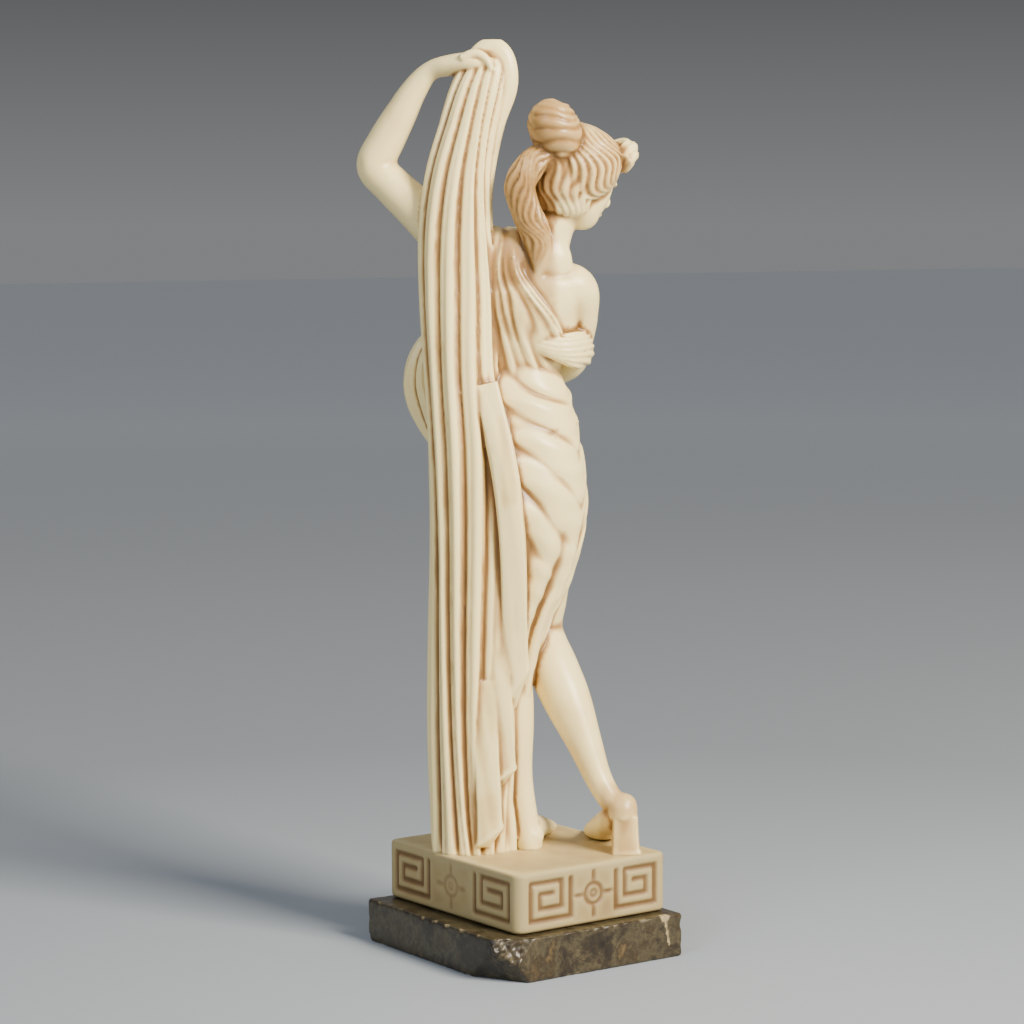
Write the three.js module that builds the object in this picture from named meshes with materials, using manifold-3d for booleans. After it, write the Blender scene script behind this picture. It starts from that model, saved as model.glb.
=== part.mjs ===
// A cast figurine of a draped classical goddess on the plinth it was cast with, glued to a marble base.
// Millimetres, +Z up. The origin is the middle of the marble's underside.
import * as THREE from "three";
import { mergeVertices } from "three/addons/utils/BufferGeometryUtils.js";
import Module from "manifold-3d";

const wasm = await Module();
wasm.setup();

// The figure. Its free form is written for a body 276 high from sole to crown.
const figureHeight = 276;
const unit = figureHeight / 276;
const figureTurn = -36.4; // degrees: she faces a corner of the plinth
const footSink = 0.6; // how far feet and cloth run into the plinth

// The plinth, cast in one with the figure.
const plinthWide = 70;
const plinthDeep = 84;
const plinthHigh = 22;
const plinthCornerRadius = 4;
const plinthEdge = 0.9;

// The key pattern in the plinth's sides.
const keyHigh = 13.8;
const keyShare = 0.2; // of the side's length
const keyPitch = 4.2; // from one turn of the spiral to the next
const keyGroove = 2;
const keyDepth = 0.9;
const keyInset = 6.2; // from the plinth's corner to the first groove
const sunRadius = 3.6;
const sunHub = 1.1;
const sunGroove = 0.9;
const sunRayStart = 5.4;
const sunRayEnd = 8.4;

// The marble base, with one corner broken away.
const marbleWide = 82;
const marbleDeep = 90.6;
const marbleHigh = 16.4;
const marbleCorner = 1.6;
const marbleEdge = 0.7;
const chipWidth = 7;
const castTurn = 1.3; // degrees: the casting was glued on a little askew
const castOffset = [-3, -2.4];
const glueLine = 0.3;

const radians = THREE.MathUtils.degToRad;
const ACROSS = new THREE.Vector3(1, 0, 0);
const DEPTH = new THREE.Vector3(0, 1, 0);
const UPWARD = new THREE.Vector3(0, 0, 1);

// A closed geometry as a solid that can be joined and cut.
function solid(geometry) {
  const bare = geometry.clone();
  bare.deleteAttribute("normal");
  bare.deleteAttribute("uv");
  const merged = mergeVertices(bare, 1e-4);
  return new wasm.Manifold(
    new wasm.Mesh({
      numProp: 3,
      vertProperties: merged.attributes.position.array,
      triVerts: new Uint32Array(merged.index.array),
    }),
  );
}

function geometryOf(joined) {
  const mesh = joined.getMesh();
  const geometry = new THREE.BufferGeometry();
  geometry.setAttribute("position", new THREE.BufferAttribute(mesh.vertProperties, 3));
  geometry.setIndex(new THREE.BufferAttribute(mesh.triVerts, 1));
  geometry.computeVertexNormals();
  return geometry;
}

const join = (solids) => solids.reduce((whole, piece) => whole.add(piece));

// A geometry in body coordinates as a solid in the plinth's. Body +X is her left, -Y her front, +Z up.
function bodySolid(geometry) {
  geometry.scale(unit, unit, unit);
  geometry.rotateZ(radians(figureTurn));
  return solid(geometry);
}

// Smooth values through rows of numbers, a Catmull-Rom spline with t from 0 to 1.
function along(rows, t) {
  const place = Math.min(Math.max(t, 0), 1) * (rows.length - 1);
  const i = Math.min(Math.floor(place), rows.length - 2);
  const f = place - i;
  const from = rows[i];
  const to = rows[i + 1];
  const before = rows[i - 1] ?? from.map((v, k) => 2 * v - to[k]);
  const after = rows[i + 2] ?? to.map((v, k) => 2 * v - from[k]);
  return from.map((v, k) => {
    const start = (to[k] - before[k]) / 2;
    const end = (after[k] - v) / 2;
    const rise = to[k] - v;
    return v + f * (start + f * (3 * rise - 2 * start - end + f * (start + end - 2 * rise)));
  });
}

// A closed body of elliptical rings along a smooth line. A station is [x, y, z, half width, half depth].
// The half width lies along `across`, made square to the line. relief(angle, t) scales a ring's radius,
// and slide(angle, t) moves a point along the line and round it, so that rows of points follow the folds.
function loft(stations, options = {}) {
  const { sides = 12, rings = 10, across = ACROSS, relief = () => 1, slide = () => [0, 0] } = options;
  const corners = [];
  const faces = [];
  const step = 1e-3;
  const spine = (t) => new THREE.Vector3(...along(stations, t));
  for (let r = 0; r <= rings; r++) {
    const t = r / rings;
    for (let s = 0; s < sides; s++) {
      const angle = (2 * Math.PI * s) / sides;
      const [onward, round] = slide(angle, t);
      const place = t + onward;
      const [a, b] = along(stations, place).slice(3);
      const heading = spine(place + step).sub(spine(place - step)).normalize();
      const side = across.clone().addScaledVector(heading, -across.dot(heading)).normalize();
      const other = heading.clone().cross(side);
      const swell = relief(angle, t);
      const corner = spine(place).addScaledVector(side, a * swell * Math.cos(angle + round));
      corners.push(corner.addScaledVector(other, b * swell * Math.sin(angle + round)));
    }
  }
  const bottom = corners.push(spine(0)) - 1;
  const top = corners.push(spine(1)) - 1;
  for (let s = 0; s < sides; s++) {
    const n = (s + 1) % sides;
    faces.push(bottom, n, s, top, rings * sides + s, rings * sides + n);
    for (let low = 0; low < rings * sides; low += sides) {
      const high = low + sides;
      faces.push(low + s, low + n, high + n, low + s, high + n, high + s);
    }
  }
  const geometry = new THREE.BufferGeometry().setFromPoints(corners);
  geometry.setIndex(faces);
  return bodySolid(geometry);
}

function ellipsoid([x, y, z], [a, b, c], sides = 10) {
  const ball = new THREE.SphereGeometry(1, sides, Math.round(sides * 0.6));
  ball.rotateX(Math.PI / 2);
  ball.scale(a, b, c);
  ball.translate(x, y, z);
  return bodySolid(ball);
}

// The trunk, from hidden hips to the root of the neck.
const trunk = [
  [1.8, -0.4, 160, 19.6, 14],
  [2.4, -1, 172, 16.4, 12],
  [2.6, -1.2, 181, 15, 11],
  [1.6, -1.5, 191, 17.6, 12.6],
  [0, -1.3, 201, 21, 13.6],
  [-0.4, -0.4, 211, 23.6, 12.8],
  [-0.6, 0.6, 219, 21.6, 11],
  [-4.5, 1.4, 225, 14, 9],
  [-8.6, 1.8, 231, 8, 7.6],
];
const gownSides = 36; // a ridge and a groove take turns round the trunk
const gownThickness = 0.06; // of the trunk's radius
const gownFoldDepth = 0.045;
const gownFan = 0.62; // radians that a fold leans towards the left shoulder

const gownSlide = (angle, t) => [0, -gownFan * (t - 0.35) * Math.sin(angle)];

// The thin gown covers all but the right shoulder, and its folds fan from the left one.
function gownRelief(angle, t) {
  const round = angle + gownSlide(angle, t)[1];
  const fromRight = Math.abs(round - Math.PI);
  const bare = THREE.MathUtils.clamp(5 * (t - 0.4), 0, 1.9);
  const covered = THREE.MathUtils.smoothstep(fromRight, bare - 0.04, bare + 0.1);
  const ridge = Math.cos((gownSides / 2) * angle);
  const belowNeck = 1 - THREE.MathUtils.smoothstep(t, 0.7, 0.9);
  return 1 + covered * belowNeck * (gownThickness + gownFoldDepth * ridge);
}

// A point on a loft's surface at a height. At 90 degrees it is at her back, at 180 on her right.
function onShell(shell, degrees, height, lift) {
  let low = 0;
  let high = 1;
  for (let halving = 0; halving < 24; halving++) {
    const middle = (low + high) / 2;
    if (along(shell, middle)[2] < height) low = middle;
    else high = middle;
  }
  const [x, y, z, a, b] = along(shell, low);
  const angle = radians(degrees);
  return [x + (a + lift) * Math.cos(angle), y + (b + lift) * Math.sin(angle), z];
}

function trunkSolids() {
  return [
    loft(trunk, { sides: gownSides, rings: 9, relief: gownRelief, slide: gownSlide }),
    ellipsoid([12, 2, 222], [10.5, 8.6, 14], 7),
    ellipsoid([-9.4, -9.6, 203], [8.6, 7.2, 8.4], 8),
    ellipsoid([8, -10, 204], [8.6, 7.2, 8.4], 8),
  ];
}

function legSolids() {
  const standing = [
    [10, -2.5, 90, 10.8, 11.5],
    [8.5, -3, 76, 9, 9.6],
    [6.2, 0, 60, 9, 9.4],
    [5, 1.2, 46, 8.2, 8.6],
    [3, 2, 28, 5.6, 6.2],
    [0.4, 3, 12, 4.9, 5.8],
    [-1, 3, 4, 5.2, 7],
    [-1.2, 3, -footSink, 5, 6.6],
  ];
  const resting = [
    [-5, -4, 122, 13.4, 14.4],
    [-5.4, -9, 108, 12.8, 13.6],
    [-5, -13, 94, 11.2, 11.8],
    [-5.2, -15.5, 80, 9.4, 9.8],
    [-11, -8, 66, 9.6, 9.8],
    [-16.4, -2.6, 54, 9, 9.2],
    [-22.2, 2, 40, 6.8, 7.4],
    [-27.4, 6, 27, 5.2, 5.8],
    [-33, 10, 17.6, 4.7, 5.2],
  ];
  return [
    loft(standing, { sides: 10, rings: 7 }),
    loft(resting, { sides: 10, rings: 10 }),
  ];
}

// The free foot stands on its toes, with a square casting post under its heel.
function footSolids() {
  const standingFoot = [
    [-1.2, 9.2, 5, 2.6, 2.4],
    [-1.4, 6, 4.8, 5.2, 5.2],
    [-1.8, -2, 5.6, 5, 6],
    [-3, -13, 4.6, 6, 4.9],
    [-5, -22, 3, 7.2, 3.4],
    [-6.2, -33, 1.6, 4.6, 1.8],
  ];
  const restingFoot = [
    [-38.6, 16.4, 18.4, 2.6, 2.8],
    [-37.4, 13.4, 17.4, 5, 5.6],
    [-34.8, 7.4, 13.4, 5, 6],
    [-31.8, -1, 8.6, 6, 5],
    [-29.2, -9, 4.2, 7, 4],
    [-27, -21, 1.8, 4.4, 1.8],
  ];
  const post = [
    [-37.6, 13.6, -footSink, 5.8, 5.4],
    [-37.4, 13.4, 3, 5, 4.6],
    [-37.2, 13, 14, 4.6, 4.2],
  ];
  const square = (angle) => 1.2 / (Math.abs(Math.cos(angle)) + Math.abs(Math.sin(angle))) ** 0.7;
  return [
    loft(standingFoot, { sides: 8, rings: 6 }),
    loft(restingFoot, { sides: 8, rings: 6 }),
    loft(post, { sides: 8, rings: 2, relief: (angle) => square(angle + Math.PI / 4) }),
  ];
}

function armSolids() {
  const raised = [
    [14, 0, 213, 9, 9],
    [25, -1, 225, 8.8, 8.8],
    [38, -2, 239, 8.2, 8.2],
    [49, -3, 249.5, 7.4, 7.4],
    [55.4, -3.4, 256.6, 7, 7],
    [51.6, -3, 265, 6.8, 7],
    [46, -2, 275, 6.2, 6.2],
    [39.4, 0, 286, 4.8, 4.6],
    [34, 1.5, 291.6, 4.4, 3.6],
    [27, 3.5, 293.4, 5.8, 3.9],
    [19, 5.5, 294, 6.6, 4],
    [12.8, 6.6, 293, 5, 3.2],
  ];
  const lowered = [
    [-12, 0.8, 215, 7.4, 7],
    [-19.2, -0.6, 210.6, 8.6, 8.4],
    [-21, -5, 202, 7.2, 7],
    [-20, -12, 191, 6.4, 6],
    [-17.6, -18, 182.6, 5.8, 5.8],
    [-10, -23.6, 178.6, 5.2, 5.4],
    [3, -26, 175.4, 4, 4.2],
    [13, -26.6, 174, 3.4, 3.4],
    [22, -25, 173.4, 4.6, 4],
    [30, -21, 172.6, 4.2, 3.2],
  ];
  return [
    loft(raised, { sides: 9, rings: 13, across: DEPTH }),
    loft(lowered, { sides: 8, rings: 10, across: new THREE.Vector3(0, 0.85, -0.5) }),
  ];
}

// Head coordinates: -Y the face, +Z the crown, the middle of the skull at the origin.
const headPlace = [-21.6, -1, 254.6];
const headTurn = 52; // degrees towards her right
const headNod = 25;
const headTilt = 4;

function toBody(local) {
  const turn = new THREE.Matrix4().makeRotationZ(radians(-headTurn));
  turn.multiply(new THREE.Matrix4().makeRotationX(radians(headNod)));
  turn.multiply(new THREE.Matrix4().makeRotationY(radians(headTilt)));
  return new THREE.Vector3(...local).applyMatrix4(turn).add(new THREE.Vector3(...headPlace));
}

function headLoft(stations, { across = [1, 0, 0], ...options } = {}) {
  const placed = stations.map(([x, y, z, a, b]) => [...toBody([x, y, z]), a, b]);
  return loft(placed, { ...options, across: toBody(across).sub(toBody([0, 0, 0])) });
}

// Eye sockets are hollows in the face, either side of the nose.
function faceRelief(angle, t) {
  const fromNose = Math.abs(angle - 1.5 * Math.PI);
  const beside = Math.exp(-(((fromNose - 0.5) / 0.22) ** 2));
  return 1 - 0.09 * beside * Math.exp(-(((t - 0.72) / 0.09) ** 2));
}

function headSolids() {
  const neck = [
    [-6.5, 2.4, 219, 10, 9.4],
    [-9, 2, 227, 8, 8],
    [-12, 1, 236, 7.4, 8],
    [-16, -1, 247, 7.6, 8.6],
  ];
  const face = [
    [0, -9.6, -19.8, 2.6, 2.2],
    [0, -8.2, -17.4, 5.2, 4.8],
    [0, -6, -13, 7.8, 7.6],
    [0, -4.8, -7.5, 9.4, 9.2],
    [0, -4.2, -1, 9.8, 9.8],
    [0, -3.6, 7, 9, 9.4],
  ];
  const nose = [
    [0, -12.4, 0.4, 1, 1],
    [0, -13.8, -3, 1.3, 1.4],
    [0, -15, -6.2, 2, 1.9],
    [0, -13.2, -7.8, 1.5, 1.1],
  ];
  const mouth = [
    [-2.6, -12.2, -10.6, 0.5, 0.5],
    [0, -13.8, -10.4, 1.1, 1.3],
    [2.6, -12.2, -10.6, 0.5, 0.5],
  ];
  return [
    loft(neck, { sides: 10, rings: 3 }),
    headLoft(face, { sides: 16, rings: 7, relief: faceRelief }),
    headLoft(nose, { sides: 5, rings: 3 }),
    headLoft(mouth, { sides: 4, rings: 2, across: [0, 0, 1] }),
  ];
}

// Locks of hair stand out as ridges, with two columns of points to a lock.
const locks = (count, depth) => (angle) =>
  1 - depth * (1 - Math.sqrt(Math.abs(Math.sin((count * angle) / 2))));

function hairSolids() {
  // The hair is combed back from the face and gathered at the bun, behind the crown.
  const cap = [
    [0, -8.6, -3.6, 10.6, 9.4],
    [0, -5.6, -2.4, 13.8, 14.6],
    [0, -1.6, -0.6, 15.8, 16.8],
    [0, 3, 2.2, 16.2, 16.4],
    [0, 7.4, 5.8, 14.6, 14.2],
    [0, 11.4, 9.6, 10.4, 10],
    [0, 14, 12.4, 5, 5],
  ];
  const bun = [
    [-17.4, 6.6, 262, 5, 5],
    [-14.4, 10.4, 265.2, 8.4, 8],
    [-11, 12.4, 270.8, 9.6, 9.2],
    [-9.6, 13, 277, 7.4, 7.2],
    [-9.2, 13, 280.6, 2, 2],
  ];
  const bow = (side) => [
    [side * 0.2, -8.6, 9, 4.4, 4.4],
    [side * 3.4, -11.6, 13, 5, 4.8],
    [side * 7.4, -12, 12.4, 5.2, 4.8],
    [side * 10.8, -8.6, 6, 4.4, 4],
  ];
  const tress = [
    [-9, 12, 262, 4.4, 4],
    [-3, 14, 257, 5.6, 4.8],
    [1.4, 14.4, 249, 6, 5],
    [-0.8, 14.4, 240, 5.8, 4.8],
    [-4.4, 14.2, 231.6, 5.2, 4.2],
    [-5.8, 13.8, 223, 3.6, 3.4],
    [-5.2, 13, 214.6, 0.9, 1],
  ];
  const nape = [
    [-15.4, 2.6, 237.8, 5, 4.6],
    [-15.6, 3.4, 241.6, 10.4, 8.6],
    [-15, 4.4, 249, 12.2, 11],
    [-13, 7, 258, 9.6, 8.4],
    [-11.6, 9.6, 264, 6, 6],
  ];
  return [
    headLoft(cap, { sides: 24, rings: 7, relief: locks(12, 0.085) }),
    loft(bun, { sides: 12, rings: 5, relief: locks(6, 0.1) }),
    headLoft(bow(1), { sides: 8, rings: 4, across: [0, 0, 1], relief: locks(4, 0.12) }),
    headLoft(bow(-1), { sides: 8, rings: 4, across: [0, 0, 1], relief: locks(4, 0.12) }),
    loft(tress, { sides: 12, rings: 8, relief: locks(6, 0.24) }),
    loft(nape, { sides: 16, rings: 4, relief: locks(8, 0.1) }),
  ];
}

// The mantle's long fall, from the raised hand down to the plinth.
const fallStations = [
  [20.6, 7, -footSink, 15.6, 12.4],
  [20.6, 7.4, 16, 16, 12.2],
  [20.4, 8.2, 46, 16.8, 12.4],
  [19.8, 9.4, 82, 16.8, 12.8],
  [19.6, 10.6, 118, 16, 12.8],
  [20.6, 10.8, 150, 15.4, 12.4],
  [23.4, 10, 180, 14, 11],
  [24.6, 8.6, 208, 14.4, 10],
  [25.2, 8, 232, 14, 9.4],
  [24, 7.6, 252, 12.8, 8.6],
  [20.4, 7, 270, 11.4, 7.8],
  [16.6, 6.4, 284, 10.8, 7],
  [13.6, 6.2, 292, 8.6, 5.6],
  [12.4, 6, 296, 5, 4],
];
const fallSides = 48; // four to a fold
const fallFoldDepth = 0.27;
const fallSway = 0.22; // radians

const fallSlide = (angle, t) => [0, fallSway * Math.sin(7 * t + 2 * angle)];

function fallRelief(angle, t) {
  const ridge = Math.sqrt(Math.abs(Math.sin((fallSides / 8) * angle)));
  const uneven = 0.78 + 0.22 * Math.cos(3 * angle + 2.5 * t);
  return 1 - fallFoldDepth * uneven * (1 - ridge);
}

function fallSolids() {
  const loop = [
    [20, 4, 284, 3.2, 6],
    [16, 4.6, 293.4, 3.4, 6.4],
    [11.6, 5.2, 297.4, 3.4, 6.4],
    [8.4, 5.8, 293.6, 3.4, 6.2],
    [7.6, 6.2, 285, 3.2, 5.6],
    [11.6, 6.6, 272, 3, 5],
    [14.8, 7.2, 254, 3, 4.4],
    [15, 7.6, 236, 2.4, 3],
  ];
  return [
    loft(fallStations, { sides: fallSides, rings: 10, relief: fallRelief, slide: fallSlide }),
    loft(loop, { sides: 8, rings: 8, across: DEPTH }),
  ];
}

// The mantle wrapped round the hips. Its lower edge climbs from the standing calf to the free hip.
const wrap = [
  [12.6, 0, 44, 12, 10.6],
  [12.2, -0.8, 60, 14, 12.2],
  [11, -1.6, 76, 16.4, 14],
  [9, -1.6, 92, 19.4, 16],
  [6, -1, 106, 22.6, 17.8],
  [3.2, 0, 120, 24.4, 19],
  [1.8, 0.6, 134, 24.6, 19.2],
  [1.8, 0.6, 147, 23.6, 18.6],
  [2, 0, 159, 21.4, 17],
  [2.4, -0.6, 170, 19.4, 15.4],
  [2.6, -1, 180, 17, 13.4],
];
const wrapRings = 18; // a ridge and a groove take turns up the hips
const swagDepth = 0.05; // of the wrap's radius
const swagDrop = 0.13; // of the wrap's height
const swagTilt = 0.13;
const pleats = 6; // round the standing leg

// How far a place on the wrap belongs to the swags of the hips, and not to the pleats of the leg.
const swagShare = (t) => THREE.MathUtils.smoothstep(t, 0.36, 0.6);

function wrapRelief(angle, t) {
  const swag = Math.cos(Math.PI * wrapRings * t);
  const pleat = Math.cos(pleats * angle);
  const folds = swagDepth * (pleat + swagShare(t) * (swag - pleat));
  const behind = Math.max(0, Math.sin(angle));
  const seat = behind * (0.6 - 0.4 * Math.cos(4 * angle)) * Math.exp(-(((t - 0.66) / 0.13) ** 2));
  return 1 + folds + 0.07 * seat;
}

// Swags hang before and behind, lower towards the standing leg, as the wrap's lower edge does.
function wrapSlide(angle, t) {
  const hang = swagDrop * Math.sin(angle) ** 2 + swagTilt * Math.cos(angle);
  return [-hang * swagShare(t) * (1 - t) * 2.2, 0];
}

function wrapSolids() {
  const hem = [
    [206, 134],
    [186, 124],
    [166, 112],
    [150, 98],
    [146, 80],
    [150, 62],
    [156, 48],
  ];
  const roll = 2;
  const stations = hem.map(([degrees, height]) => [
    ...onShell(wrap, degrees, height, 0),
    roll,
    roll,
  ]);
  return [
    loft(wrap, { sides: 24, rings: wrapRings, relief: wrapRelief, slide: wrapSlide }),
    loft(stations, { sides: 6, rings: 7, across: UPWARD }),
  ];
}

// The sleeve has slipped from the right shoulder into the crook of the arm.
function sleeveSolid() {
  const sleeve = [
    [-5, 10.6, 187, 5, 3],
    [-13, 9, 188.6, 7, 4.6],
    [-20, 3, 189.4, 7.6, 4.8],
    [-22, -7, 188, 7, 4.4],
    [-18, -17, 185, 4, 3],
  ];
  return loft(sleeve, { sides: 12, rings: 5, across: UPWARD, relief: locks(6, 0.2) });
}

// The bunch of mantle that her right hand gathers at her left hip.
function bunchSolid() {
  const bunch = [
    [25, -12, 192, 4, 4],
    [32, -12, 188, 9, 8.6],
    [34, -12, 176, 12.6, 10.6],
    [31, -11.6, 163, 11, 9.6],
    [26, -10, 146, 5, 5],
  ];
  return loft(bunch, { sides: 16, rings: 6, relief: locks(8, 0.2) });
}

// Edges of the mantle that step down beside the standing foot. Each hem slants up to her right.
function tailSolids() {
  const slant = (angle, t) => [0.1 * (1 - t) * (1 - Math.cos(angle)), 0];
  const edges = [
    [
      [3, 12.6, 55, 5.2, 4],
      [3.4, 14.4, 84, 5, 4],
      [4.2, 18.6, 120, 4.8, 4],
      [7.4, 19.4, 148, 4.6, 3.8],
      [14, 14.6, 176, 4, 3.4],
    ],
    [
      [8, 13.6, 26, 5.2, 3.6],
      [8.6, 14.4, 52, 4.8, 3.6],
      [11, 14.6, 90, 3.6, 3],
    ],
    [
      [13, 16, 3, 5.4, 3.6],
      [13.6, 16, 32, 4.6, 3.4],
      [15, 15, 66, 3.4, 3],
    ],
  ];
  const solids = edges.map((edge) => loft(edge, { sides: 8, rings: edge.length + 1, slide: slant }));
  const pleats = 3;
  for (let i = 0; i < pleats; i++) {
    const pleat = [
      [5.6 + 4.6 * i, 9 + 2 * i, -footSink, 2.3, 2.4],
      [6 + 4.4 * i, 9 + 2 * i, 11, 2.2, 2.4],
      [8 + 4 * i, 8 + 2 * i, 30, 1.6, 1.8],
    ];
    solids.push(loft(pleat, { sides: 6, rings: 2 }));
  }
  return solids;
}

// A block with its middle at the origin's XY, standing on z = 0.
function roundedBlock(wide, deep, high, corner, edge) {
  const outline = new THREE.Shape();
  const r = corner - edge;
  const x = wide / 2 - corner;
  const y = deep / 2 - corner;
  outline.moveTo(-x, -y - r);
  outline.absarc(x, -y, r, -Math.PI / 2, 0);
  outline.absarc(x, y, r, 0, Math.PI / 2);
  outline.absarc(-x, y, r, Math.PI / 2, Math.PI);
  outline.absarc(-x, -y, r, Math.PI, 1.5 * Math.PI);
  const block = new THREE.ExtrudeGeometry(outline, {
    depth: high - 2 * edge,
    curveSegments: 2,
    bevelThickness: edge,
    bevelSize: edge,
    bevelSegments: 1,
  });
  block.translate(0, 0, edge);
  return block;
}

// A square spiral groove as a row of corners, from its outer bar inwards. The bar stands on the +X side.
function spiral(wide, high, pitch) {
  let [left, right, low, top] = [-wide / 2, wide / 2 + pitch, -high / 2, high / 2];
  const corners = [[right, top]];
  while (right - left > pitch && top - low > 0) {
    corners.push([right, low], [left, low], [left, top]);
    right -= pitch;
    low += pitch;
    corners.push([right, top]);
    left += pitch;
    top -= pitch;
  }
  return corners;
}

// A groove's cutter stands on the plane y = 0 and reaches keyDepth to either side of it.
function strokeCutter([x0, z0], [x1, z1], width) {
  const long = Math.abs(x1 - x0) + width;
  const high = Math.abs(z1 - z0) + width;
  const cutter = new THREE.BoxGeometry(long, 2 * keyDepth, high);
  return cutter.translate((x0 + x1) / 2, 0, (z0 + z1) / 2);
}

function keyCutters(length) {
  const cutters = [];
  const wide = length * keyShare;
  for (const mirror of [1, -1]) {
    const middle = -mirror * (length / 2 - keyInset - wide / 2);
    const corners = spiral(wide, keyHigh, keyPitch).map(([x, z]) => [middle + mirror * x, z]);
    for (let i = 1; i < corners.length; i++)
      cutters.push(strokeCutter(corners[i - 1], corners[i], keyGroove));
  }
  return cutters;
}

function sunCutters() {
  const ring = new THREE.TorusGeometry(sunRadius, sunGroove / 2, 4, 10).rotateX(Math.PI / 2);
  const hub = new THREE.CylinderGeometry(sunHub, sunHub, sunGroove, 6);
  const compass = [[1, 0], [-1, 0], [0, 1], [0, -1]];
  const rays = compass.map(([x, z]) =>
    strokeCutter([x * sunRayStart, z * sunRayStart], [x * sunRayEnd, z * sunRayEnd], sunGroove),
  );
  return [ring, hub, ...rays];
}

// The two sides behind her have a sun between their keys, and the two before her are plainer.
function plinthSolid() {
  const block = roundedBlock(plinthWide, plinthDeep, plinthHigh, plinthCornerRadius, plinthEdge);
  let plinth = solid(block.translate(0, 0, -plinthHigh));
  const sunlit = [true, false, false, true];
  sunlit.forEach((sun, quarter) => {
    const length = quarter % 2 ? plinthDeep : plinthWide;
    const out = (quarter % 2 ? plinthWide : plinthDeep) / 2;
    const cutters = keyCutters(length).concat(sun ? sunCutters() : []);
    const placed = cutters.map((cutter) =>
      solid(cutter.translate(0, out, -plinthHigh / 2).rotateZ((quarter * Math.PI) / 2)),
    );
    plinth = plinth.subtract(join(placed));
  });
  return plinth;
}

function figureSolid() {
  return join([
    ...trunkSolids(),
    ...legSolids(),
    ...footSolids(),
    ...armSolids(),
    ...headSolids(),
    ...hairSolids(),
    ...fallSolids(),
    ...wrapSolids(),
    sleeveSolid(),
    bunchSolid(),
    ...tailSolids(),
    plinthSolid(),
  ]);
}

// The corner broken from the base left three flat flakes.
function marbleSolid() {
  let marble = solid(roundedBlock(marbleWide, marbleDeep, marbleHigh, marbleCorner, marbleEdge));
  const flakes = [
    [45, 14, 0.42, 0.5],
    [62, -22, 0.3, 0.4],
    [28, 34, 0.3, 0.7],
  ];
  const reach = 3 * marbleHigh;
  for (const [turn, lean, inset, height] of flakes) {
    const flake = new THREE.BoxGeometry(reach, reach, reach);
    flake.translate(reach / 2, 0, 0);
    flake.rotateY(radians(lean));
    flake.rotateZ(radians(turn));
    flake.translate(
      marbleWide / 2 - inset * chipWidth,
      marbleDeep / 2 - inset * chipWidth,
      height * marbleHigh,
    );
    marble = marble.subtract(solid(flake));
  }
  return marble;
}

const figure = new THREE.Mesh(
  geometryOf(figureSolid()),
  new THREE.MeshStandardMaterial({ color: "#e6d8bb", roughness: 0.45, metalness: 0 }),
);
figure.name = "figure_with_plinth";
figure.position.set(...castOffset, marbleHigh + glueLine + plinthHigh);
figure.rotation.z = radians(castTurn);

const marble = new THREE.Mesh(
  geometryOf(marbleSolid()),
  new THREE.MeshStandardMaterial({ color: "#6f665a", roughness: 0.55, metalness: 0 }),
);
marble.name = "marble_base";

const figurine = new THREE.Group();
figurine.add(figure, marble);

export default figurine;
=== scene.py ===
import math
import bpy
import numpy as np
from mathutils import Matrix, Vector


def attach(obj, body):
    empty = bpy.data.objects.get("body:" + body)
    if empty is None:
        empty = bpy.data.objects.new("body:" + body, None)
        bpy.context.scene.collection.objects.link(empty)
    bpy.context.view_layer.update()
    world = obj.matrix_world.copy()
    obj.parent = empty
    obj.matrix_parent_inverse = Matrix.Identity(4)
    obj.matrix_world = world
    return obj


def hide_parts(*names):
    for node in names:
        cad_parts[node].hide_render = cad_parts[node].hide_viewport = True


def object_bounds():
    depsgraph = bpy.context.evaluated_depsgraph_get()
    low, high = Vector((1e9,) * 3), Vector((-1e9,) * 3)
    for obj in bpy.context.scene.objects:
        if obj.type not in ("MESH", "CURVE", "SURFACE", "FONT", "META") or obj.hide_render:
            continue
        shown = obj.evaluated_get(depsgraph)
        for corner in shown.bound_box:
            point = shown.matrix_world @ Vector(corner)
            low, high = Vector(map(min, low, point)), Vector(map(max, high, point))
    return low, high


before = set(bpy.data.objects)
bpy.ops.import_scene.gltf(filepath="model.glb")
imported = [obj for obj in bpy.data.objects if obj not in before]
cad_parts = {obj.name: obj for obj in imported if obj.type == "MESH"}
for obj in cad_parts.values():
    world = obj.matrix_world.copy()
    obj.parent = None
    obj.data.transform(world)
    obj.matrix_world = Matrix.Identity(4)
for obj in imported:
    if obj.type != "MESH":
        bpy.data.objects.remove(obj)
cad_low, cad_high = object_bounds()
bpy.ops.object.select_all(action="DESELECT")


# The marble base: a block of mottled brown marble with one corner broken away and worn edges.
# It is sawn, ground flat and polished, the break shows the rough stone, and it is glued under the plinth.
def srgb(code):
    parts = [int(code[i : i + 2], 16) / 255 for i in (1, 3, 5)]
    return [*(p / 12.92 if p <= 0.04045 else ((p + 0.055) / 1.055) ** 2.4 for p in parts), 1.0]


def new_material(name):
    material = bpy.data.materials.new(name)
    material.use_nodes = True
    return material, material.node_tree, material.node_tree.nodes["Principled BSDF"]


def add_node(tree, kind, inputs=None, **settings):
    made = tree.nodes.new(kind)
    for key, value in settings.items():
        setattr(made, key, value)
    for key, value in (inputs or {}).items():
        if isinstance(value, bpy.types.NodeSocket):
            tree.links.new(value, made.inputs[key])
        else:
            made.inputs[key].default_value = value
    return made


def add_ramp(tree, factor, stops):
    ramp = add_node(tree, "ShaderNodeValToRGB", {0: factor})
    while len(ramp.color_ramp.elements) < len(stops):
        ramp.color_ramp.elements.new(0.5)
    for element, (place, color) in zip(ramp.color_ramp.elements, stops):
        element.position = place
        element.color = srgb(color)
    return ramp.outputs[0]


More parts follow.
